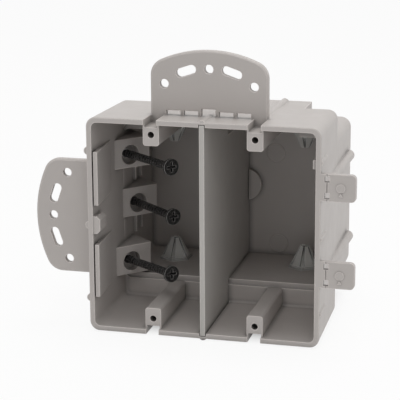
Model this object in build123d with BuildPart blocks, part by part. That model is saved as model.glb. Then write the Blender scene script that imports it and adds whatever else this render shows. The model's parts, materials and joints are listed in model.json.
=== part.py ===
from build123d import *
from math import cos, radians, sin, tan
import os

os.makedirs("parts", exist_ok=True)

# A moulded two-gang electrical box with a removable divider, captive mounting screws and cable clamps.
# Millimetres, +Z up, the open front faces -Y. The origin is the centre of the four device screws,
# on the faces of their bosses. Depths are measured back from the front rim.

# Device screws, at the spacing that two-gang devices use
GANG_PITCH = 46.04
DEVICE_SPAN = 83.34
DEVICE_HOLE_D = 2.9
DEVICE_HOLE_DEPTH = 18.0
BOSS_W = 7.2
BOSS_REACH = 4.9
BOSS_CORNER_R = 1.2
BOSS_SETBACK = 1.8
GROOVE_W = 5.8
GROOVE_D = 3.7
GROOVE_LEN = 16.0

# Box shell: a full-height front section and a lower rear section behind a step
BOX_W = 103.8
BOX_H = 97.2
BOX_DEPTH = 88.9
FRONT_DEPTH = 46.0
REAR_H = 75.2
WALL = 2.3
DRAFT = 1.25
CORNER_R = 4.3
REAR_CORNER_R = 4.7
CAVITY_R = 2.6
STEP_EDGE_R = 2.0
REAR_EDGE_R = 2.6
FOOT_R = 1.2
REAR_SET = 0.2
RIM_BEVEL = 0.4
LIP_H = 2.5
LIP_SET = 1.0
HUMP_W = 74.0
HUMP_CLEAR = 8.0

# Nailing flanges, on the top and on the left
FLANGE_DEPTH = 13.1
FLANGE_T = 2.6
FLANGE_W = 52.4
FLANGE_H = 29.0
FLANGE_ARC_R = 53.0
FLANGE_CORNER_R = 7.5
FLANGE_BEVEL = 0.7
NAIL_HOLE_D = 4.0
NAIL_PITCH = 40.0
NAIL_H = 13.9
CENTRE_HOLE_H = 20.9
SLOT_LEN = 9.2
SLOT_X = 10.2
SLOT_H = 19.7
SLOT_TILT = 19.0
WINDOW_W = 6.4
WINDOW_H = 2.3
WINDOW_PITCH = 7.85
WINDOW_SHIFT = -0.3
CENTRE_WINDOW_H = 3.4

# Break-off ears on the right, at the rim
EAR_LEN = 15.0
EAR_H = 11.8
EAR_T = 2.2
EAR_UPPER_Z = 23.2
EAR_LOWER_Z = -15.2
EAR_CORNER_R = 2.0
EAR_WINDOW_W = 2.2
EAR_WINDOW_H = 2.6
EAR_WINDOW_PITCH = 7.3
EAR_WINDOW_X = 2.6
EAR_SCORE_W = 0.5
EAR_SCORE_D = 0.3
EAR_DISC_D = 3.9
EAR_DISC_X = 8.5
EAR_MARK_R = 1.1
EAR_MARK_DROP = 3.2
EAR_MARK_RISE = 0.35

# Rails outside the shell, and thick bands, a block and a tab inside the side walls at the rim
LEFT_RAIL_R = 1.8
RIGHT_RAIL_R = 1.2
RAIL_SINK = 0.5
RAIL_Z = 33.5
WEDGE_R = 2.5
WEDGE_Z = 19.5
WEDGE_START = 6.0
WEDGE_BACK = 10.9
WEDGE_RISE = 3.0
TOP_WEDGE_R = 2.0
TOP_WEDGE_X = 23.5
TOP_WEDGE_START = 18.0
TOP_WEDGE_BACK = 2.0
TOP_WEDGE_RISE = 1.2
WEDGE_LEAD = 0.4
BAND_T = 2.5
BAND_DEPTH = 26.0
BAND_END_Z = 33.0
BAND_GAP = 18.0
BAND_SLIT = 0.6
BAND_SLIT_DEPTH = 6.0
BLOCK_H = 8.0
BLOCK_T = 3.2
BLOCK_BEVEL = 1.5
BLOCK_DEPTH = 9.0
TAB_RISE = 1.5
TAB_H = 3.8
TAB_Z = 32.5
TAB_START = 1.5
TAB_LEN = 4.0

# Screw pads on the left wall, each square to its screw, with clip ribs under the upper two
SCREW_ANGLE = 48.0
PAD_PITCH = 25.3
PAD_MIDDLE_Z = -0.7
PAD_H = 13.6
PAD_LEN = 19.0
PAD_START = 31.0
PAD_MIDDLE_START = 41.5
PAD_EDGE_R = 0.8
HOLE_ALONG = 8.4
HOLE_DROP = 0.8
SCREW_HOLE_D = 4.4
HEAD_SEAT_D = 9.2
HEAD_SEAT_DEPTH = 4.2
CLIP_T = 1.2
CLIP_RISE = 1.6
CLIP_LEN = 9.0
CLIP_DROP = 1.5
CLIP_DEPTHS = (57.0, 65.5)

# Mounting screws, with how far each head stands off its pad and how far it leans up in its loose hole
SCREW_CORE_D = 3.3
SCREW_LEN = 44.45
SCREW_POINT_LEN = 5.0
HEAD_D = 7.6
HEAD_FLANGE_H = 1.1
HEAD_CONE_H = 2.2
CROSS_W = 1.2
CROSS_LEN = 4.6
CROSS_DEPTH = 1.9
STAND_OFFS = {"top": 35.0, "middle": 30.6, "bottom": 34.5}
LEANS = {"top": 1.5, "middle": 0.0, "bottom": 3.5}
LEAN_PIVOT = 5.5

# Divider
DIVIDER_T = 2.2
DIVIDER_GAP = 0.35
DIVIDER_CORNER_R = 2.0
SLOT_IN_WALL = 1.3
STEP_GAP = 0.8
LOBE_R = 1.9
LOBE_PROUD = 0.8
KEEPER_D = 15.0
KEEPER_H = 3.0
KEEPER_Z = 1.0

# Cable clamps: six-sided lips flush with the floor and ceiling, and a finger on each side
CLAMP_X = 31.5
CLAMP_BACK = 17.9
CLAMP_BORE_D = 11.0
CLAMP_COLLAR_D = 13.4
CLAMP_LIP_R = 7.2
CLAMP_LIP_H = 1.2
CLAMP_GAP = 0.1
FINGERS = 6
FINGER_BASE_R = 6.35
FINGER_TIP_R = 1.6
FINGER_H = 10.0
FINGER_T = 1.0
FINGER_BASE_W = 6.8
FINGER_TIP_W = 1.5

# Worked out from the sizes above
SLOPE = tan(radians(DRAFT))
HALF_W = BOX_W / 2
HALF_H = BOX_H / 2
REAR_HALF_H = REAR_H / 2
CAVITY_DEPTH = BOX_DEPTH - WALL
STEP_DEPTH = FRONT_DEPTH - WALL
CLAMP_DEPTH = BOX_DEPTH - CLAMP_BACK
HUMP_DEPTH = CLAMP_DEPTH - HUMP_CLEAR
WEDGE_END = BOX_DEPTH - WEDGE_BACK
TOP_WEDGE_END = HUMP_DEPTH - TOP_WEDGE_BACK
AXIS_OUT = Vector(sin(radians(SCREW_ANGLE)), -cos(radians(SCREW_ANGLE)), 0)
PAD_ALONG = Vector(cos(radians(SCREW_ANGLE)), sin(radians(SCREW_ANGLE)), 0)
PADS = {
    "top": (PAD_START, PAD_MIDDLE_Z + PAD_PITCH),
    "middle": (PAD_MIDDLE_START, PAD_MIDDLE_Z),
    "bottom": (PAD_START, PAD_MIDDLE_Z - PAD_PITCH),
}


def y_at(depth):
    """Y of a point that lies a given depth behind the rim."""
    return depth - BOSS_SETBACK


def at_depth(depth):
    """Sketch plane parallel to the rim, X to the right and Z up; extrude by a negative amount to go back."""
    return Plane.XZ.offset(-y_at(depth))


def inset(depth):
    """How far the moulding draft has brought a wall in at a given depth."""
    return depth * SLOPE


def floor_z(depth):
    """Height of the raised rear floor (negative) above the box's middle."""
    return -(REAR_HALF_H - WALL - inset(depth))


def hole_centre(name):
    """Where a screw's hole meets the face of its pad."""
    depth, z = PADS[name]
    corner = Vector(-(HALF_W - WALL - inset(depth)), y_at(depth), z - HOLE_DROP)
    return corner + PAD_ALONG * HOLE_ALONG


def clamp_plane(x, side):
    """Top of a cable clamp's lip, facing into the box: side -1 on the floor, side 1 on the ceiling."""
    return Plane((x, y_at(CLAMP_DEPTH), -side * floor_z(CLAMP_DEPTH)), x_dir=(1, 0, 0), z_dir=(0, 0, -side))


def drafted_prism(depth, corner_r, rear_r=0.0, mode=Mode.ADD):
    """Drafted prism of the current sketch with round corners, and round rear edges where a radius is given."""
    prism = extrude(amount=-depth, taper=DRAFT, mode=Mode.PRIVATE).solid()
    middle = prism.center().Y
    corners = prism.edges().filter_by(lambda edge: abs(edge.center().Y - middle) < depth / 4)
    prism = prism.fillet(corner_r, corners)
    if rear_r > 0:
        prism = prism.fillet(rear_r, prism.faces().sort_by(Axis.Y)[-1].edges())
    add(prism, mode=mode)


def lip_outline(gap):
    """Six-sided outline of a cable clamp's lip, with a gap around it, one side to each finger."""
    RegularPolygon(CLAMP_LIP_R + gap, FINGERS, major_radius=False, rotation=180 / FINGERS)


def rail(start, end, radius, x_dir):
    """Round rail from one point to another."""
    with BuildSketch(Plane(start, x_dir=x_dir, z_dir=end - start)) as section:
        Circle(radius)
    extrude(section.sketch, amount=(end - start).length)


def nailing_flange(plane):
    """Arched plate with its nail holes, slots and break-off windows, drawn from the wall outwards."""
    shoulder = FLANGE_H - FLANGE_ARC_R + (FLANGE_ARC_R**2 - (FLANGE_W / 2) ** 2) ** 0.5
    with BuildSketch(plane) as face:
        with BuildLine():
            Polyline(
                (FLANGE_W / 2, shoulder),
                (FLANGE_W / 2, -WALL / 2),
                (-FLANGE_W / 2, -WALL / 2),
                (-FLANGE_W / 2, shoulder),
            )
            ThreePointArc((-FLANGE_W / 2, shoulder), (0, FLANGE_H), (FLANGE_W / 2, shoulder))
        outline = make_face()
        fillet(outline.vertices().group_by(Axis.Y)[-1], FLANGE_CORNER_R)
        with Locations((0, CENTRE_HOLE_H), (-NAIL_PITCH / 2, NAIL_H), (NAIL_PITCH / 2, NAIL_H)):
            Circle(NAIL_HOLE_D / 2, mode=Mode.SUBTRACT)
        for side in (-1, 1):
            with Locations(Location((side * SLOT_X, SLOT_H, 0), (0, 0, -side * SLOT_TILT))):
                SlotOverall(SLOT_LEN, NAIL_HOLE_D, mode=Mode.SUBTRACT)
        for step in (-2, -1, 0, 1, 2):
            height = CENTRE_WINDOW_H if step == 0 else WINDOW_H
            with Locations((step * WINDOW_PITCH + WINDOW_SHIFT, height / 2)):
                Rectangle(WINDOW_W, height, mode=Mode.SUBTRACT)
    plate = extrude(face.sketch, amount=-FLANGE_T, mode=Mode.PRIVATE).solid()
    root = plane.origin - plane.y_dir * (WALL / 2)
    edges = plate.faces().sort_by(Axis.Y)[0].outer_wire().edges()
    free = edges.filter_by(lambda edge: abs((edge.center() - root).dot(plane.y_dir)) > 0.1)
    add(plate.chamfer(FLANGE_BEVEL, None, free))


with BuildPart() as box_body:
    # Outer shell: front section, rear section and the raised middle of the rear section's top
    with BuildSketch(at_depth(0)):
        Rectangle(BOX_W, BOX_H)
    drafted_prism(FRONT_DEPTH, CORNER_R, STEP_EDGE_R)
    chamfer(box_body.faces().sort_by(Axis.Y)[0].edges(), RIM_BEVEL)
    with BuildSketch(at_depth(RIM_BEVEL)):
        Rectangle(BOX_W - 2 * inset(RIM_BEVEL) - 2 * REAR_SET, REAR_H)
    drafted_prism(BOX_DEPTH - RIM_BEVEL, REAR_CORNER_R, REAR_EDGE_R)
    with BuildSketch(at_depth(RIM_BEVEL)):
        with Locations((0, HALF_H / 2 - inset(RIM_BEVEL) - REAR_SET)):
            Rectangle(HUMP_W, HALF_H)
    extrude(amount=-(HUMP_DEPTH - RIM_BEVEL), taper=DRAFT)

    # Wedge rails that stand off the right wall and the top, short rails at the rim on both sides,
    # and a swelling over each divider slot
    for z in (-WEDGE_Z, WEDGE_Z):
        start = Vector(HALF_W - inset(WEDGE_START) - WEDGE_R + WEDGE_LEAD, y_at(WEDGE_START), z)
        end = Vector(HALF_W - inset(WEDGE_END) - WEDGE_R + WEDGE_RISE, y_at(WEDGE_END), z)
        rail(start, end, WEDGE_R, (0, 0, 1))
    for x in (-TOP_WEDGE_X, TOP_WEDGE_X):
        top = HALF_H - TOP_WEDGE_R
        start = Vector(x, y_at(TOP_WEDGE_START), top - inset(TOP_WEDGE_START) + WEDGE_LEAD)
        end = Vector(x, y_at(TOP_WEDGE_END), top - inset(TOP_WEDGE_END) + TOP_WEDGE_RISE)
        rail(start, end, TOP_WEDGE_R, (1, 0, 0))
    for side, radius in ((-1, LEFT_RAIL_R), (1, RIGHT_RAIL_R)):
        for z in (-RAIL_Z, 0, RAIL_Z):
            start = Vector(side * (HALF_W - RAIL_SINK), y_at(RIM_BEVEL), z)
            end = Vector(side * (HALF_W - RAIL_SINK - inset(FLANGE_DEPTH)), y_at(FLANGE_DEPTH), z)
            rail(start, end, radius, (0, 0, 1))
        lobe = HALF_H - LOBE_R + LOBE_PROUD
        start = Vector(0, y_at(RIM_BEVEL), side * lobe)
        end = Vector(0, y_at(STEP_DEPTH), side * (lobe - inset(STEP_DEPTH)))
        rail(start, end, LOBE_R, (1, 0, 0))

    # Hollow: front cavity, the ledge at the step, rear cavity and the raised middle
    with BuildSketch(at_depth(0)):
        Rectangle(BOX_W - 2 * WALL, BOX_H - 2 * WALL)
    drafted_prism(STEP_DEPTH, CAVITY_R, FOOT_R, mode=Mode.SUBTRACT)
    with BuildSketch(at_depth(0)):
        Rectangle(BOX_W - 2 * WALL - 2 * REAR_SET, REAR_H - 2 * WALL + 2 * LIP_H)
    drafted_prism(STEP_DEPTH + LIP_SET, CAVITY_R, mode=Mode.SUBTRACT)
    with BuildSketch(at_depth(0)):
        Rectangle(BOX_W - 2 * WALL - 2 * REAR_SET, REAR_H - 2 * WALL)
    drafted_prism(CAVITY_DEPTH, CAVITY_R, mode=Mode.SUBTRACT)
    with BuildSketch(at_depth(0)):
        with Locations((0, (HALF_H - WALL) / 2)):
            Rectangle(HUMP_W - 2 * WALL, HALF_H - WALL)
    extrude(amount=-(HUMP_DEPTH - WALL), taper=DRAFT, mode=Mode.SUBTRACT)

    # Device-screw bosses along the top and bottom walls, each with a notch outside it
    boss_top = HALF_H - inset(FRONT_DEPTH) - WALL / 10
    boss_bottom = DEVICE_SPAN / 2 - BOSS_REACH
    boss_mid = (boss_top + boss_bottom) / 2
    with BuildSketch(at_depth(BOSS_SETBACK)):
        with GridLocations(GANG_PITCH, 2 * boss_mid, 2, 2):
            Rectangle(BOSS_W, boss_top - boss_bottom)
    bosses = extrude(amount=-(STEP_DEPTH + WALL / 2 - BOSS_SETBACK), mode=Mode.PRIVATE)
    for boss in bosses.solids():
        inner = boss.edges().filter_by(Axis.Y).sort_by(lambda edge: abs(edge.center().Z))[0:2]
        add(boss.fillet(BOSS_CORNER_R, inner))
    for side, length in ((-1, GROOVE_LEN), (1, FLANGE_DEPTH)):
        with BuildSketch(at_depth(0)):
            with Locations((-GANG_PITCH / 2, side * HALF_H), (GANG_PITCH / 2, side * HALF_H)):
                Rectangle(GROOVE_W, 2 * GROOVE_D)
        extrude(amount=-length, mode=Mode.SUBTRACT)
    with BuildSketch(at_depth(BOSS_SETBACK)):
        with GridLocations(GANG_PITCH, DEVICE_SPAN, 2, 2):
            Circle(DEVICE_HOLE_D / 2)
    extrude(amount=-DEVICE_HOLE_DEPTH, mode=Mode.SUBTRACT)

    # Thick bands that thin out towards the back and a middle block inside the left wall at the rim,
    # and a small tab inside the right wall
    band_x = HALF_W - WALL
    block_x = band_x - BLOCK_T
    root_x = band_x + WALL / 2
    for up in (-1, 1):
        with BuildSketch(Plane.XY.offset(up * (BAND_GAP / 2 + BAND_END_Z) / 2)):
            Polygon(
                (-root_x, y_at(RIM_BEVEL)),
                (BAND_T - band_x, y_at(RIM_BEVEL)),
                (inset(BAND_DEPTH) - band_x, y_at(BAND_DEPTH)),
                (-root_x, y_at(BAND_DEPTH)),
                align=None,
            )
        extrude(amount=(BAND_END_Z - BAND_GAP / 2) / 2, both=True)
        with BuildSketch(at_depth(0)):
            with Locations((BAND_SLIT / 2 - band_x, up * (BAND_GAP / 2 + BAND_END_Z) / 2)):
                Rectangle(BAND_SLIT, BAND_END_Z - BAND_GAP / 2)
        extrude(amount=-BAND_SLIT_DEPTH, mode=Mode.SUBTRACT)
    with BuildSketch(at_depth(RIM_BEVEL)):
        Polygon(
            (-root_x, BLOCK_H / 2),
            (-block_x - BLOCK_BEVEL, BLOCK_H / 2),
            (-block_x, BLOCK_H / 2 - BLOCK_BEVEL),
            (-block_x, BLOCK_BEVEL - BLOCK_H / 2),
            (-block_x - BLOCK_BEVEL, -BLOCK_H / 2),
            (-root_x, -BLOCK_H / 2),
            align=None,
        )
    extrude(amount=-(BLOCK_DEPTH - RIM_BEVEL))
    with BuildSketch(at_depth(TAB_START)):
        with Locations((root_x - (TAB_RISE + WALL / 2) / 2, TAB_Z)):
            Rectangle(TAB_RISE + WALL / 2, TAB_H)
    extrude(amount=-TAB_LEN)

    # Screw pads on the left wall, each with a seat for the head and a hole out through the wall
    for name, (depth, z) in PADS.items():
        wall_x = -(HALF_W - WALL - inset(depth))
        root_x = wall_x - WALL / 2
        first = Vector(wall_x, y_at(depth), z) - PAD_ALONG * (WALL / 2 / PAD_ALONG.X)
        nose = Vector(wall_x, y_at(depth), z) + PAD_ALONG * PAD_LEN
        last = nose - AXIS_OUT * ((nose.X - root_x) / AXIS_OUT.X)
        with BuildSketch(Plane.XY.offset(z)):
            Polygon((first.X, first.Y), (nose.X, nose.Y), (last.X, last.Y), align=None)
        pad = extrude(amount=PAD_H / 2, both=True, mode=Mode.PRIVATE).solid()
        nose_edges = pad.edges().filter_by(Axis.Z).sort_by(Axis.X)[-1:]
        add(pad.fillet(PAD_EDGE_R, nose_edges))
    for name in PADS:
        seat = Plane(hole_centre(name), x_dir=(0, 0, 1), z_dir=AXIS_OUT)
        with BuildSketch(seat):
            Circle(HEAD_SEAT_D / 2)
        extrude(amount=-HEAD_SEAT_DEPTH, mode=Mode.SUBTRACT)
        with BuildSketch(seat):
            Circle(SCREW_HOLE_D / 2)
        extrude(amount=-2 * PAD_LEN, mode=Mode.SUBTRACT)

    for name in ("top", "middle"):
        for depth in CLIP_DEPTHS:
            rib_z = PADS[name][1] - PAD_H / 2 - CLIP_DROP - CLIP_LEN / 2
            rib_x = inset(depth) + WALL + CLIP_RISE - HALF_W
            with BuildSketch(Plane.XY.offset(rib_z)):
                with Locations((rib_x - (CLIP_RISE + WALL / 2) / 2, y_at(depth))):
                    Rectangle(CLIP_RISE + WALL / 2, CLIP_T)
            extrude(amount=CLIP_LEN / 2, both=True)

    # Divider slots in the top and bottom walls, and a slotted round keeper for its rear edge
    slot_half = HALF_H - WALL + SLOT_IN_WALL
    with BuildSketch(Plane.YZ):
        Polygon(
            (y_at(-WALL), slot_half),
            (y_at(0), slot_half),
            (y_at(STEP_DEPTH), slot_half - inset(STEP_DEPTH)),
            (y_at(STEP_DEPTH), inset(STEP_DEPTH) - slot_half),
            (y_at(0), -slot_half),
            (y_at(-WALL), -slot_half),
            align=None,
        )
    extrude(amount=DIVIDER_T / 2 + DIVIDER_GAP, both=True, mode=Mode.SUBTRACT)
    with BuildSketch(at_depth(CAVITY_DEPTH - KEEPER_H)):
        with Locations((0, KEEPER_Z)):
            Circle(KEEPER_D / 2)
        Rectangle(DIVIDER_T + 2 * DIVIDER_GAP, 2 * KEEPER_D, mode=Mode.SUBTRACT)
    extrude(amount=-(KEEPER_H + WALL / 2))

    # Openings for the cable clamps, each with a recess for the lip
    for side in (-1, 1):
        for x in (-CLAMP_X, CLAMP_X):
            with BuildSketch(clamp_plane(x, side).offset(CLAMP_LIP_H)):
                lip_outline(CLAMP_GAP)
            extrude(amount=-(2 * CLAMP_LIP_H + CLAMP_GAP), mode=Mode.SUBTRACT)
            with BuildSketch(clamp_plane(x, side)):
                Circle(CLAMP_COLLAR_D / 2 + CLAMP_GAP)
            extrude(amount=-2 * WALL, mode=Mode.SUBTRACT)

    # Nailing flanges on the top and on the left
    flange_y = y_at(FLANGE_DEPTH)
    flange_in = inset(FLANGE_DEPTH)
    nailing_flange(Plane((0, flange_y, HALF_H - flange_in), x_dir=(1, 0, 0), z_dir=(0, -1, 0)))
    nailing_flange(Plane((flange_in - HALF_W, flange_y, 0), x_dir=(0, 0, 1), z_dir=(0, -1, 0)))

    # Break-off ears on the right, with two windows, a score line, a raised disc and a raised mark each
    for z in (EAR_UPPER_Z, EAR_LOWER_Z):
        with BuildSketch(at_depth(0)):
            with Locations((HALF_W + (EAR_LEN - WALL / 2) / 2, z)):
                ear = Rectangle(EAR_LEN + WALL / 2, EAR_H)
            fillet(ear.vertices().group_by(Axis.X)[-1], EAR_CORNER_R)
            with Locations((HALF_W + EAR_WINDOW_X, z)):
                with GridLocations(0, EAR_WINDOW_PITCH, 1, 2):
                    Rectangle(EAR_WINDOW_W, EAR_WINDOW_H, mode=Mode.SUBTRACT)
        extrude(amount=-EAR_T)
        with BuildSketch(at_depth(0)):
            with Locations((HALF_W + EAR_WINDOW_X, z)):
                Rectangle(EAR_SCORE_W, EAR_H)
        extrude(amount=-EAR_SCORE_D, mode=Mode.SUBTRACT)
        with BuildSketch(at_depth(-EAR_MARK_RISE)):
            with Locations((HALF_W + EAR_DISC_X, z)):
                Circle(EAR_DISC_D / 2)
            with Locations((HALF_W + EAR_DISC_X, z - EAR_MARK_DROP)):
                RegularPolygon(EAR_MARK_R, 3, rotation=90)
        extrude(amount=-(EAR_MARK_RISE + EAR_T / 2))

box_body.part.label = "box_body"
export_step(box_body.part, "parts/box_body.step")

with BuildPart() as divider:
    # Plate that follows the step, with its front edges running in the wall slots
    front_half = HALF_H - WALL + SLOT_IN_WALL - DIVIDER_GAP
    step = STEP_DEPTH - STEP_GAP
    back = CAVITY_DEPTH - DIVIDER_GAP
    rear_half = REAR_HALF_H - WALL - DIVIDER_GAP
    upper = [
        (y_at(0), front_half),
        (y_at(step), front_half - inset(step)),
        (y_at(step), rear_half - inset(step)),
        (y_at(back), rear_half - inset(back)),
    ]
    lower = [(y, -z) for y, z in reversed(upper)]
    with BuildSketch(Plane.YZ):
        plate = Polygon(*upper, *lower, align=None)
        fillet(plate.vertices().group_by(Axis.X)[-1], DIVIDER_CORNER_R)
    extrude(amount=DIVIDER_T / 2, both=True)
divider.part.label = "divider"
export_step(divider.part, "parts/divider.step")


def screw(name):
    """Mounting screw with a countersunk head and a cross recess; its thread is left to the picture."""
    lean = radians(LEANS[name])
    out = AXIS_OUT * cos(lean) + Vector(0, 0, 1) * sin(lean)
    across = out.cross(PAD_ALONG)
    top = hole_centre(name) - AXIS_OUT * LEAN_PIVOT + out * (STAND_OFFS[name] + LEAN_PIVOT)
    cone = HEAD_FLANGE_H + HEAD_CONE_H
    with BuildSketch(Plane(top, x_dir=across, z_dir=across.cross(out))) as profile:
        with BuildLine():
            Polyline(
                (0, 0),
                (HEAD_D / 2, 0),
                (HEAD_D / 2, -HEAD_FLANGE_H),
                (SCREW_CORE_D / 2, -cone),
                (SCREW_CORE_D / 2, SCREW_POINT_LEN - SCREW_LEN),
                (0, -SCREW_LEN),
                (0, 0),
            )
        make_face()
    revolve(profile.sketch, axis=Axis(top, out))
    with BuildSketch(Plane(top, x_dir=across, z_dir=out)) as recess:
        Rectangle(CROSS_LEN, CROSS_W)
        Rectangle(CROSS_W, CROSS_LEN)
    extrude(recess.sketch, amount=-CROSS_DEPTH, mode=Mode.SUBTRACT)


with BuildPart() as mounting_screw_top:
    screw("top")
mounting_screw_top.part.label = "mounting_screw_top"
export_step(mounting_screw_top.part, "parts/mounting_screw_top.step")

with BuildPart() as mounting_screw_middle:
    screw("middle")
mounting_screw_middle.part.label = "mounting_screw_middle"
export_step(mounting_screw_middle.part, "parts/mounting_screw_middle.step")

with BuildPart() as mounting_screw_bottom:
    screw("bottom")
mounting_screw_bottom.part.label = "mounting_screw_bottom"
export_step(mounting_screw_bottom.part, "parts/mounting_screw_bottom.step")


def clamp(x, side):
    """Cable clamp: a collar with a six-sided lip and flat spring fingers that lean together."""
    seat = clamp_plane(x, side)
    with BuildSketch(seat) as ring:
        Circle(CLAMP_COLLAR_D / 2)
    extrude(ring.sketch, amount=-WALL)
    with BuildSketch(seat) as lip:
        lip_outline(0)
    extrude(lip.sketch, amount=-CLAMP_LIP_H)
    with BuildSketch(seat) as bore:
        Circle(CLAMP_BORE_D / 2)
    extrude(bore.sketch, amount=-WALL, mode=Mode.SUBTRACT)
    for number in range(FINGERS):
        turn = radians(360 * number / FINGERS)
        outward = seat.x_dir * cos(turn) + seat.y_dir * sin(turn)
        foot = seat.origin + outward * (FINGER_BASE_R + FINGER_T / 2)
        rise = seat.z_dir * FINGER_H - outward * (FINGER_BASE_R - FINGER_TIP_R)
        length = rise.length
        along = rise.normalized()
        tangent = seat.z_dir.cross(outward)
        with BuildSketch(Plane(foot, x_dir=tangent, z_dir=tangent.cross(along))) as finger:
            Polygon(
                (-FINGER_BASE_W / 2, -CLAMP_LIP_H / 2),
                (FINGER_BASE_W / 2, -CLAMP_LIP_H / 2),
                (FINGER_TIP_W / 2, length),
                (-FINGER_TIP_W / 2, length),
                align=None,
            )
        extrude(finger.sketch, amount=-FINGER_T)


with BuildPart() as cable_clamp_top_left:
    clamp(-CLAMP_X, 1)
cable_clamp_top_left.part.label = "cable_clamp_top_left"
export_step(cable_clamp_top_left.part, "parts/cable_clamp_top_left.step")

with BuildPart() as cable_clamp_top_right:
    clamp(CLAMP_X, 1)
cable_clamp_top_right.part.label = "cable_clamp_top_right"
export_step(cable_clamp_top_right.part, "parts/cable_clamp_top_right.step")

with BuildPart() as cable_clamp_bottom_left:
    clamp(-CLAMP_X, -1)
cable_clamp_bottom_left.part.label = "cable_clamp_bottom_left"
export_step(cable_clamp_bottom_left.part, "parts/cable_clamp_bottom_left.step")

with BuildPart() as cable_clamp_bottom_right:
    clamp(CLAMP_X, -1)
cable_clamp_bottom_right.part.label = "cable_clamp_bottom_right"
export_step(cable_clamp_bottom_right.part, "parts/cable_clamp_bottom_right.step")
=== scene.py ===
"""Two-gang moulded wall box: finishes, screw threads, slit clamps, ejector marks, studio and camera."""

import json
import math

import bmesh
import bpy
from mathutils import Euler, Matrix, Vector


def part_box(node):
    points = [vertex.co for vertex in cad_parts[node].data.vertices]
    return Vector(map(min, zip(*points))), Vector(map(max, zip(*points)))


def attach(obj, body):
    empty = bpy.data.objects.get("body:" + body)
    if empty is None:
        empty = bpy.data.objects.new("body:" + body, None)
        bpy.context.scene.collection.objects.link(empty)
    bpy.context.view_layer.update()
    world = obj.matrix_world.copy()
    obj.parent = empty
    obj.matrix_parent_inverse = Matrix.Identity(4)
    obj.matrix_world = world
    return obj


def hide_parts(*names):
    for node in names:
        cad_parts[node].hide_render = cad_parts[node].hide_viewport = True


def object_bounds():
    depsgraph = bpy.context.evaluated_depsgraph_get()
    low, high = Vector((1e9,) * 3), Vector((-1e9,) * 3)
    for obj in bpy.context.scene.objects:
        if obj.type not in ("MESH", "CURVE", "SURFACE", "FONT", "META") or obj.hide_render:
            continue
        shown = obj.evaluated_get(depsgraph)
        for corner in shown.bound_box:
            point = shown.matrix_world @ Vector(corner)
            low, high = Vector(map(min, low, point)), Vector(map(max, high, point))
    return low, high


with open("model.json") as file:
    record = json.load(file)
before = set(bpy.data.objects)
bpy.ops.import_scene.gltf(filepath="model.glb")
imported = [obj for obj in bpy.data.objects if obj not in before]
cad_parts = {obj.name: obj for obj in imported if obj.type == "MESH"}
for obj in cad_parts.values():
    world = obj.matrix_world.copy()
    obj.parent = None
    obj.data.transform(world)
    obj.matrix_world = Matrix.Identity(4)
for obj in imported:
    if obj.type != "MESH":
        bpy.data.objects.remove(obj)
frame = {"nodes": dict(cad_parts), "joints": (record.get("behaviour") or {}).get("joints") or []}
cad_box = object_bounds()

MM = 0.001

# Colours, as linear values
BOX_GREY = (0.50, 0.465, 0.443)
DIVIDER_GREY = (0.495, 0.475, 0.45)
CLAMP_GREY = (0.60, 0.595, 0.57)
SCREW_BLACK = (0.017, 0.0165, 0.0165)
SCREW_WEAR_AND_HIGHLIGHT = (0.42, 0.405, 0.39)
WHITE = (1.0, 1.0, 1.0, 1.0)

# Moulded plastic: flow marks, shine, grain, painted highlights on edges and painted shade in corners
FLOW_SCALE = 38.0
FLOW_DETAIL = 4.0
FLOW_LEVELS = (0.94, 1.05)
SHINE_SCALE = 160.0
SHINE_DETAIL = 3.0
BOX_ROUGHNESS = (0.40, 0.52)
CLAMP_ROUGHNESS = (0.36, 0.48)
PLASTIC_SPECULAR = 0.5
GRAIN_SCALE = 2600.0
GRAIN_DETAIL = 2.0
GRAIN_STRENGTH = 0.06
GRAIN_DEPTH = 0.05 * MM
BOX_EDGE_R = 0.8 * MM
CLAMP_EDGE_R = 0.3 * MM
# Painted highlight: how much lighter the proud edges are made
EDGE_PAINTED_HIGHLIGHT = 1.75
EDGE_REACH = 0.9 * MM
# Painted shade in corners and recesses: colour level there, and the reach over which it falls
CORNER_PAINTED_SHADE = 0.45
CORNER_REACH = 3.0 * MM
# Painted shade on the inner faces of the clamps' fingers, and its reach
CLAMP_INSIDE_PAINTED_SHADE = 0.2
CLAMP_INSIDE_REACH = 5.0 * MM

# Black coat of the screws, lighter on proud edges as worn bare steel and a painted highlight
COAT_SCALE = 900.0
COAT_DETAIL = 3.0
COAT_LEVELS = (0.7, 1.6)
COAT_ROUGHNESS = (0.20, 0.32)
COAT_SPECULAR = 0.4
SCREW_EDGE_R = 0.4 * MM

# Ranges over which noise, open surfaces and edges go from nothing to full, and the samples that find them
NOISE_RANGE = (0.25, 0.75)
OPEN_RANGE = (0.45, 0.95)
EDGE_RANGE = (0.99, 0.80)
EDGE_SAMPLES = 8

# Screw thread
THREAD_CORE_R = 1.65 * MM
THREAD_HEIGHT = 0.18 * MM
THREAD_PITCH = 2.0 * MM
THREAD_POINT_LEN = 5.0 * MM
THREAD_LEN = 40.0 * MM
THREAD_TIP_R = 0.15 * MM
THREAD_STEPS = 20
THREAD_SIDES = 4

# Cable clamps: six-sided lip, short tube and fingers with open slits between them
CLAMP_LIP_R = 7.2 * MM
CLAMP_LIP_H = 1.2 * MM
CLAMP_LIP_BEVEL = 0.25 * MM
CLAMP_COLLAR_R = 6.7 * MM
CLAMP_COLLAR_LEN = 2.3 * MM
CLAMP_BORE_R = 5.5 * MM
CLAMP_TUBE_IN = 0.55 * MM
CLAMP_TUBE_LEAN = 0.3 * MM
CLAMP_TUBE_H = 1.3 * MM
CLAMP_WALL = 1.0 * MM
CLAMP_STEPS = 72
FINGERS = 6
FINGER_ROOT = 0.6 * MM
FINGER_BASE_R = 6.35 * MM
FINGER_TIP_R = 1.6 * MM
FINGER_H = 10.0 * MM
FINGER_BASE_W = 4.5 * MM
FINGER_TIP_W = 1.4 * MM

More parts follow.
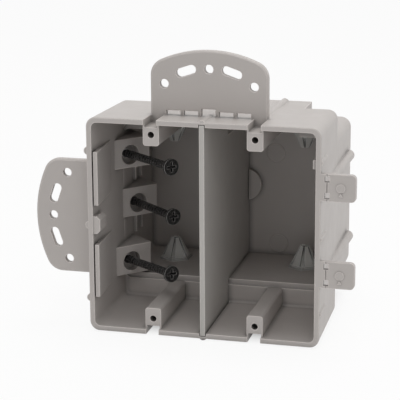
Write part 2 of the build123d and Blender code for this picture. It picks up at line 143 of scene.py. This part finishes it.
# Ejector marks on the back wall: thin raised discs
EJECTOR_PLACES = {"upper": (14.0 * MM, 16.6 * MM), "lower": (15.7 * MM, -28.0 * MM)}
EJECTOR_R = 4.5 * MM
EJECTOR_RISE = 0.2 * MM
EJECTOR_BEVEL = 0.12 * MM
EJECTOR_STEPS = 64
BACK_WALL_T = 2.3 * MM

# Camera
CAMERA_PLACE = (0.174162, -0.664067, 0.194673)
CAMERA_TURN = (75.26664, 0.32499, 14.71146)
CAMERA_LENS = 148.1156
CAMERA_NEAREST = 0.01
SENSOR = 36.0

# Studio: the floor, the light from all round, and lamps with their place, size and power
FLOOR_SIZE = 6.0
FLOOR_WHITE = (0.90, 0.90, 0.90, 1.0)
FLOOR_GLOW = 0.90
FLOOR_DIM_HALF = (0.052, 0.044)
FLOOR_DIM_MIDDLE = (0.0, 0.042)
FLOOR_DIM_FADE = 0.03
FILL_LEVEL = 0.57
LAMP_AIM = (0.0, 0.03, 0.0)
LAMPS = {
    "key_above": ((0.1, 0.12, 1.05), 0.5, 3.6),
    "front_above": ((0.15, -0.55, 0.85), 0.4, 1.2),
    "side_right": ((1.0, 0.15, 0.25), 0.5, 0.6),
}


def cleared(owner):
    """Nodes and links of a material or world, with nothing in them yet."""
    owner.use_nodes = True
    owner.node_tree.nodes.clear()
    return owner.node_tree.nodes, owner.node_tree.links


def calc(nodes, links, operation, first, second=0.0):
    """Arithmetic on two values, each a socket or a number."""
    node = nodes.new("ShaderNodeMath")
    node.operation = operation
    for socket, value in zip(node.inputs, (first, second)):
        if isinstance(value, float):
            socket.default_value = value
        else:
            links.new(value, socket)
    return node.outputs["Value"]


def ranged(nodes, links, value, given, wanted=(0.0, 1.0), ease="LINEAR"):
    """A value taken from one range to another."""
    node = nodes.new("ShaderNodeMapRange")
    node.interpolation_type = ease
    for socket, number in zip(("From Min", "From Max", "To Min", "To Max"), (*given, *wanted)):
        node.inputs[socket].default_value = number
    links.new(value, node.inputs["Value"])
    return node.outputs["Result"]


def noise(nodes, links, vector, scale, detail):
    """Noise on the given coordinates."""
    texture = nodes.new("ShaderNodeTexNoise")
    texture.inputs["Scale"].default_value = scale
    texture.inputs["Detail"].default_value = detail
    links.new(vector, texture.inputs["Vector"])
    return texture.outputs["Fac"]


def openness(nodes, links, reach):
    """One on open surfaces, falling to zero in corners and recesses of about the given reach."""
    near = nodes.new("ShaderNodeAmbientOcclusion")
    near.samples = EDGE_SAMPLES
    near.inputs["Distance"].default_value = reach
    return ranged(nodes, links, near.outputs["AO"], OPEN_RANGE)


def rounded_edges(nodes, links, radius):
    """Normal that rounds sharp edges, and a value that grows to one on edges that stand proud."""
    edge = nodes.new("ShaderNodeBevel")
    edge.samples = EDGE_SAMPLES
    edge.inputs["Radius"].default_value = radius
    flat = nodes.new("ShaderNodeNewGeometry").outputs["Normal"]
    agree = nodes.new("ShaderNodeVectorMath")
    agree.operation = "DOT_PRODUCT"
    links.new(edge.outputs["Normal"], agree.inputs[0])
    links.new(flat, agree.inputs[1])
    on_edge = ranged(nodes, links, agree.outputs["Value"], EDGE_RANGE)
    proud = calc(nodes, links, "MULTIPLY", on_edge, openness(nodes, links, EDGE_REACH))
    return edge.outputs["Normal"], proud


def blend(nodes, links, factor, first, second):
    """Colour between two others, each a socket or a written colour."""
    mix = nodes.new("ShaderNodeMix")
    mix.data_type = "RGBA"
    links.new(factor, mix.inputs["Factor"])
    for side, colour in (("A", first), ("B", second)):
        if isinstance(colour, tuple):
            mix.inputs[side].default_value = (*colour, 1)
        else:
            links.new(colour, mix.inputs[side])
    return mix.outputs["Result"]


def shade(colour, level):
    """A colour made darker or lighter by a factor, up to white."""
    return tuple(min(1.0, channel * level) for channel in colour)


def surface(name):
    """A new material; returns it with its nodes, links, shader and the piece's own coordinates."""
    finish = bpy.data.materials.new(name)
    nodes, links = cleared(finish)
    output = nodes.new("ShaderNodeOutputMaterial")
    shader = nodes.new("ShaderNodeBsdfPrincipled")
    links.new(shader.outputs["BSDF"], output.inputs["Surface"])
    place = nodes.new("ShaderNodeTexCoord").outputs["Object"]
    return finish, nodes, links, shader, place


def moulded_plastic(name, colour, roughness, edge_r, painted_shade_reach, painted_shade_level):
    """Moulded plastic: fine sparked texture, faint flow marks, painted shade in corners and recesses, and
    smooth edges with a painted highlight.
    """
    finish, nodes, links, shader, place = surface(name)
    flow = noise(nodes, links, place, FLOW_SCALE, FLOW_DETAIL)
    tint = blend(nodes, links, flow, *(shade(colour, level) for level in FLOW_LEVELS))
    normal, proud = rounded_edges(nodes, links, edge_r)
    # Painted shade: colour darkened in corners and recesses found by ambient occlusion
    tint = blend(nodes, links, openness(nodes, links, painted_shade_reach), shade(colour, painted_shade_level), tint)
    # Painted highlight: proud edges made lighter
    tint = blend(nodes, links, proud, tint, shade(colour, EDGE_PAINTED_HIGHLIGHT))
    links.new(tint, shader.inputs["Base Color"])
    shine = noise(nodes, links, place, SHINE_SCALE, SHINE_DETAIL)
    links.new(ranged(nodes, links, shine, NOISE_RANGE, roughness), shader.inputs["Roughness"])
    shader.inputs["Specular IOR Level"].default_value = PLASTIC_SPECULAR
    grain = nodes.new("ShaderNodeBump")
    grain.inputs["Strength"].default_value = GRAIN_STRENGTH
    grain.inputs["Distance"].default_value = GRAIN_DEPTH
    links.new(noise(nodes, links, place, GRAIN_SCALE, GRAIN_DETAIL), grain.inputs["Height"])
    links.new(normal, grain.inputs["Normal"])
    links.new(grain.outputs["Normal"], shader.inputs["Normal"])
    return finish


def black_screw_steel(name):
    """Black phosphate coat on steel: dark, fine-grained, a little shiny, and lighter at the edges as worn
    bare steel and a painted highlight.
    """
    finish, nodes, links, shader, place = surface(name)
    coat = noise(nodes, links, place, COAT_SCALE, COAT_DETAIL)
    tint = blend(nodes, links, coat, *(shade(SCREW_BLACK, level) for level in COAT_LEVELS))
    normal, proud = rounded_edges(nodes, links, SCREW_EDGE_R)
    # Proud edges lighter: worn bare steel and a painted highlight
    links.new(blend(nodes, links, proud, tint, SCREW_WEAR_AND_HIGHLIGHT), shader.inputs["Base Color"])
    links.new(ranged(nodes, links, coat, NOISE_RANGE, COAT_ROUGHNESS), shader.inputs["Roughness"])
    shader.inputs["Specular IOR Level"].default_value = COAT_SPECULAR
    links.new(normal, shader.inputs["Normal"])
    return finish


def dress(node, finish):
    """Gives a CAD node one finish all over."""
    mesh = frame["nodes"][node].data
    mesh.materials.clear()
    mesh.materials.append(finish)


def thread_tree(finish):
    """Geometry nodes for a screw thread along +Z, its point at the origin."""
    tree = bpy.data.node_groups.new("screw_thread", "GeometryNodeTree")
    for size in ("Core Radius", "Tip Radius", "Height", "Pitch", "Point Length", "Thread Length"):
        tree.interface.new_socket(size, in_out="INPUT", socket_type="NodeSocketFloat")
    tree.interface.new_socket("Geometry", in_out="OUTPUT", socket_type="NodeSocketGeometry")
    nodes = tree.nodes
    links = tree.links
    given = nodes.new("NodeGroupInput").outputs

    def helix(length, start_r):
        """Ridge wound over a length, from a starting radius to the core's."""
        spiral = nodes.new("GeometryNodeCurveSpiral")
        spiral.inputs["Resolution"].default_value = THREAD_STEPS
        links.new(calc(nodes, links, "DIVIDE", length, given["Pitch"]), spiral.inputs["Rotations"])
        links.new(start_r, spiral.inputs["Start Radius"])
        links.new(given["Core Radius"], spiral.inputs["End Radius"])
        links.new(length, spiral.inputs["Height"])
        upright = nodes.new("GeometryNodeSetCurveNormal")
        upright.mode = "Z_UP"
        links.new(spiral.outputs["Curve"], upright.inputs["Curve"])
        ridge = nodes.new("GeometryNodeCurvePrimitiveCircle")
        ridge.inputs["Resolution"].default_value = THREAD_SIDES
        links.new(given["Height"], ridge.inputs["Radius"])
        swept = nodes.new("GeometryNodeCurveToMesh")
        swept.inputs["Fill Caps"].default_value = True
        links.new(upright.outputs["Curve"], swept.inputs["Curve"])
        links.new(ridge.outputs["Curve"], swept.inputs["Profile Curve"])
        return swept.outputs["Mesh"]

    raised = nodes.new("GeometryNodeTransform")
    lift = nodes.new("ShaderNodeCombineXYZ")
    links.new(given["Point Length"], lift.inputs["Z"])
    links.new(lift.outputs["Vector"], raised.inputs["Translation"])
    links.new(helix(given["Thread Length"], given["Core Radius"]), raised.inputs["Geometry"])
    joined = nodes.new("GeometryNodeJoinGeometry")
    links.new(helix(given["Point Length"], given["Tip Radius"]), joined.inputs["Geometry"])
    links.new(raised.outputs["Geometry"], joined.inputs["Geometry"])
    realized = nodes.new("GeometryNodeRealizeInstances")
    links.new(joined.outputs["Geometry"], realized.inputs["Geometry"])
    coated = nodes.new("GeometryNodeSetMaterial")
    coated.inputs["Material"].default_value = finish
    links.new(realized.outputs["Geometry"], coated.inputs["Geometry"])
    result = nodes.new("NodeGroupOutput")
    links.new(coated.outputs["Geometry"], result.inputs["Geometry"])
    return tree


def screw_thread(which, tree):
    """Thread of one mounting screw, wound from its point towards its head."""
    sizes = {
        "Core Radius": THREAD_CORE_R,
        "Tip Radius": THREAD_TIP_R,
        "Height": THREAD_HEIGHT,
        "Pitch": THREAD_PITCH,
        "Point Length": THREAD_POINT_LEN,
        "Thread Length": THREAD_LEN - THREAD_POINT_LEN,
    }
    holder = bpy.data.objects.new("holder", bpy.data.meshes.new("holder"))
    bpy.context.collection.objects.link(holder)
    winding = holder.modifiers.new("winding", "NODES")
    winding.node_group = tree
    for item in tree.interface.items_tree:
        if item.in_out == "INPUT":
            winding[item.identifier] = sizes[item.name]
    evaluated = holder.evaluated_get(bpy.context.evaluated_depsgraph_get())
    mesh = bpy.data.meshes.new_from_object(evaluated)
    bpy.data.objects.remove(holder)
    drive = next(joint for joint in frame["joints"] if joint["name"] == f"{which}_screw_drive")
    towards_head = -Vector(drive["axis"])
    corners = frame["nodes"][f"mounting_screw_{which}"].data.vertices
    tip = min((corner.co for corner in corners), key=towards_head.dot)
    turn = Vector((0, 0, 1)).rotation_difference(towards_head)
    mesh.transform(Matrix.Translation(tip) @ turn.to_matrix().to_4x4())
    thread = bpy.data.objects.new(f"thread_{which}", mesh)
    bpy.context.collection.objects.link(thread)
    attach(thread, f"mounting_screw_{which}")


def round_at(radius):
    """Radius of a circle at any angle."""
    return lambda angle: radius


def six_sided_at(inner_r):
    """Radius of the lip's hexagon at an angle, with the middle of a side on +X."""
    part = math.tau / FINGERS
    return lambda angle: inner_r / math.cos((angle + part / 2) % part - part / 2)


def band(shape, below, above):
    """Faces between two rings of points."""
    for step, (first, second) in enumerate(zip(below, above)):
        shape.faces.new((below[step - 1], first, second, above[step - 1]))


def turned(shape, steps, profile):
    """Rings of points around Z joined by faces; each profile row gives radius by angle, and height."""
    rings = []
    for radius_at, height in profile:
        ring = []
        for step in range(steps):
            angle = math.tau * step / steps
            radius = radius_at(angle)
            ring.append(shape.verts.new((radius * math.cos(angle), radius * math.sin(angle), height)))
        rings.append(ring)
    for below, above in zip(rings, rings[1:]):
        band(shape, below, above)
    return rings


def clamp_finger(shape, turn):
    """One flat finger, leaning from the tube towards the clamp's middle."""
    outward = Vector((math.cos(turn), math.sin(turn), 0))
    rise = Vector((0, 0, FINGER_H)) - outward * (FINGER_BASE_R - FINGER_TIP_R)
    along = rise.normalized()
    across = Vector((0, 0, 1)).cross(outward)
    through = across.cross(along) * CLAMP_WALL
    foot = outward * (FINGER_BASE_R + CLAMP_WALL / 2)
    root = foot + along * FINGER_ROOT
    tip = foot + rise
    outline = [
        root - across * FINGER_BASE_W / 2,
        root + across * FINGER_BASE_W / 2,
        tip + across * FINGER_TIP_W / 2,
        tip - across * FINGER_TIP_W / 2,
    ]
    outer = [shape.verts.new(point) for point in outline]
    inner = [shape.verts.new(point - through) for point in outline]
    shape.faces.new(outer)
    shape.faces.new(inner)
    band(shape, inner, outer)


def piece_on_box(shape, name, place, finish):
    """A new piece that rides on the box, from a shape and the matrix that puts it in place."""
    bmesh.ops.transform(shape, matrix=place, verts=shape.verts)
    bmesh.ops.recalc_face_normals(shape, faces=shape.faces)
    mesh = bpy.data.meshes.new(name)
    shape.to_mesh(mesh)
    shape.free()
    mesh.materials.append(finish)
    piece = bpy.data.objects.new(name, mesh)
    bpy.context.collection.objects.link(piece)
    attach(piece, "box")
    return piece


def cable_clamp(corner, finish):
    """Cable clamp with open slits between its fingers, in the place of its plainer solid."""
    node = f"cable_clamp_{corner}"
    low, high = (Vector(point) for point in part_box(node))
    seat = (low + high) / 2
    facing = -1 if corner.startswith("top") else 1
    seat.z = (low.z if facing > 0 else high.z) + facing * CLAMP_COLLAR_LEN
    tube_r = CLAMP_LIP_R - CLAMP_TUBE_IN
    profile = (
        (round_at(CLAMP_BORE_R), -CLAMP_COLLAR_LEN),
        (round_at(CLAMP_COLLAR_R), -CLAMP_COLLAR_LEN),
        (round_at(CLAMP_COLLAR_R), -CLAMP_LIP_H),
        (six_sided_at(CLAMP_LIP_R), -CLAMP_LIP_H),
        (six_sided_at(CLAMP_LIP_R), -CLAMP_LIP_BEVEL),
        (six_sided_at(CLAMP_LIP_R - CLAMP_LIP_BEVEL), 0),
        (six_sided_at(tube_r), 0),
        (six_sided_at(tube_r - CLAMP_TUBE_LEAN), CLAMP_TUBE_H),
        (six_sided_at(tube_r - CLAMP_TUBE_LEAN - CLAMP_WALL), CLAMP_TUBE_H),
        (round_at(CLAMP_BORE_R), 0),
    )
    shape = bmesh.new()
    rings = turned(shape, CLAMP_STEPS, profile)
    band(shape, rings[-1], rings[0])
    for number in range(FINGERS):
        clamp_finger(shape, math.tau * number / FINGERS)
    place = Matrix.Translation(seat) @ Matrix.Diagonal((1, 1, facing, 1))
    clamp = piece_on_box(shape, f"clamp_{corner}", place, finish)
    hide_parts(node)


def ejector_mark(which, finish):
    """Thin raised disc that an ejector pin left on the back wall, facing the front."""
    x, z = EJECTOR_PLACES[which]
    wall_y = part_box("box_body")[1][1] - BACK_WALL_T
    profile = (
        (round_at(EJECTOR_R), -EJECTOR_RISE),
        (round_at(EJECTOR_R), EJECTOR_RISE - EJECTOR_BEVEL),
        (round_at(EJECTOR_R - EJECTOR_BEVEL), EJECTOR_RISE),
    )
    shape = bmesh.new()
    rings = turned(shape, EJECTOR_STEPS, profile)
    shape.faces.new(rings[0])
    shape.faces.new(rings[-1])
    place = Matrix.Translation((x, wall_y, z)) @ Matrix.Rotation(math.radians(90), 4, "X")
    piece_on_box(shape, f"ejector_mark_{which}", place, finish)


def seen_white(nodes, links):
    """One for rays from the camera and for mirrored or transmitted ones, which see plain white."""
    path = nodes.new("ShaderNodeLightPath")
    value = path.outputs["Is Camera Ray"]
    for kind in ("Is Glossy Ray", "Is Transmission Ray"):
        value = calc(nodes, links, "MAXIMUM", value, path.outputs[kind])
    return value


def clear_of_box(nodes, links):
    """Glow of the floor: full around the box, none under it."""
    place = nodes.new("ShaderNodeSeparateXYZ")
    links.new(nodes.new("ShaderNodeTexCoord").outputs["Object"], place.inputs["Vector"])
    past = []
    for axis, middle, half in zip("XY", FLOOR_DIM_MIDDLE, FLOOR_DIM_HALF):
        away = calc(nodes, links, "SUBTRACT", place.outputs[axis], middle)
        past.append(calc(nodes, links, "SUBTRACT", calc(nodes, links, "ABSOLUTE", away), half))
    furthest = calc(nodes, links, "MAXIMUM", *past)
    return ranged(nodes, links, furthest, (-FLOOR_DIM_FADE, 0.0), (0.0, FLOOR_GLOW), "SMOOTHSTEP")


def mixed(nodes, links, share, first, second, output):
    """Two shaders mixed by a share, as the surface of a material or world."""
    mix = nodes.new("ShaderNodeMixShader")
    links.new(share, mix.inputs["Fac"])
    links.new(first, mix.inputs[1])
    links.new(second, mix.inputs[2])
    links.new(mix.outputs["Shader"], nodes.new(output).inputs["Surface"])


def floor(height):
    """White floor at a height, which keeps a soft shadow."""
    half = FLOOR_SIZE / 2
    corners = [(x * half, y * half, height) for x, y in ((-1, -1), (1, -1), (1, 1), (-1, 1))]
    mesh = bpy.data.meshes.new("floor")
    mesh.from_pydata(corners, [], [(0, 1, 2, 3)])
    sheet = bpy.data.objects.new("floor", mesh)
    bpy.context.collection.objects.link(sheet)
    paper = bpy.data.materials.new("white_paper")
    nodes, links = cleared(paper)
    diffuse = nodes.new("ShaderNodeBsdfDiffuse")
    diffuse.inputs["Color"].default_value = FLOOR_WHITE
    glow = nodes.new("ShaderNodeEmission")
    glow.inputs["Color"].default_value = WHITE
    glow.inputs["Strength"].default_value = 1.0
    share = calc(nodes, links, "MULTIPLY", seen_white(nodes, links), clear_of_box(nodes, links))
    mixed(nodes, links, share, diffuse.outputs["BSDF"], glow.outputs["Emission"], "ShaderNodeOutputMaterial")
    mesh.materials.append(paper)


def surroundings():
    """Soft light from all round, seen as plain white."""
    world = bpy.data.worlds.new("studio")
    bpy.context.scene.world = world
    nodes, links = cleared(world)
    levels = []
    for strength in (FILL_LEVEL, 1.0):
        level = nodes.new("ShaderNodeBackground")
        level.inputs["Color"].default_value = WHITE
        level.inputs["Strength"].default_value = strength
        levels.append(level.outputs["Background"])
    mixed(nodes, links, seen_white(nodes, links), *levels, "ShaderNodeOutputWorld")


def soft_light(name):
    """Square studio lamp, turned towards the box."""
    place, size, power = LAMPS[name]
    lamp = bpy.data.lights.new(name, "AREA")
    lamp.shape = "SQUARE"
    lamp.size = size
    lamp.energy = power
    light = bpy.data.objects.new(name, lamp)
    light.location = place
    light.rotation_euler = (Vector(LAMP_AIM) - Vector(place)).to_track_quat("-Z", "Y").to_euler()
    bpy.context.collection.objects.link(light)


def camera():
    """Camera at the photograph's viewing angle."""
    lens = bpy.data.cameras.new("camera")
    lens.sensor_width = SENSOR
    lens.lens = CAMERA_LENS
    lens.clip_start = CAMERA_NEAREST
    eye = bpy.data.objects.new("camera", lens)
    eye.location = CAMERA_PLACE
    eye.rotation_euler = Euler([math.radians(angle) for angle in CAMERA_TURN], "XYZ")
    bpy.context.collection.objects.link(eye)
    bpy.context.scene.camera = eye


box_plastic = moulded_plastic(
    "box_plastic", BOX_GREY, BOX_ROUGHNESS, BOX_EDGE_R, CORNER_REACH, CORNER_PAINTED_SHADE
)
divider_plastic = moulded_plastic(
    "divider_plastic", DIVIDER_GREY, BOX_ROUGHNESS, BOX_EDGE_R, CORNER_REACH, CORNER_PAINTED_SHADE
)
# The clamps get deeper painted shade on the inner faces of their fingers
clamp_plastic = moulded_plastic(
    "clamp_plastic", CLAMP_GREY, CLAMP_ROUGHNESS, CLAMP_EDGE_R, CLAMP_INSIDE_REACH, CLAMP_INSIDE_PAINTED_SHADE
)
screw_coat = black_screw_steel("screw_coat")

dress("box_body", box_plastic)
dress("divider", divider_plastic)
for corner in ("top_left", "top_right", "bottom_left", "bottom_right"):
    cable_clamp(corner, clamp_plastic)
for which in EJECTOR_PLACES:
    ejector_mark(which, box_plastic)
winding_tree = thread_tree(screw_coat)
for row in ("top", "middle", "bottom"):
    dress(f"mounting_screw_{row}", screw_coat)
    screw_thread(row, winding_tree)

floor(cad_box[0][2])
surroundings()
for name in LAMPS:
    soft_light(name)
camera()
bpy.context.scene.view_settings.view_transform = "Standard"
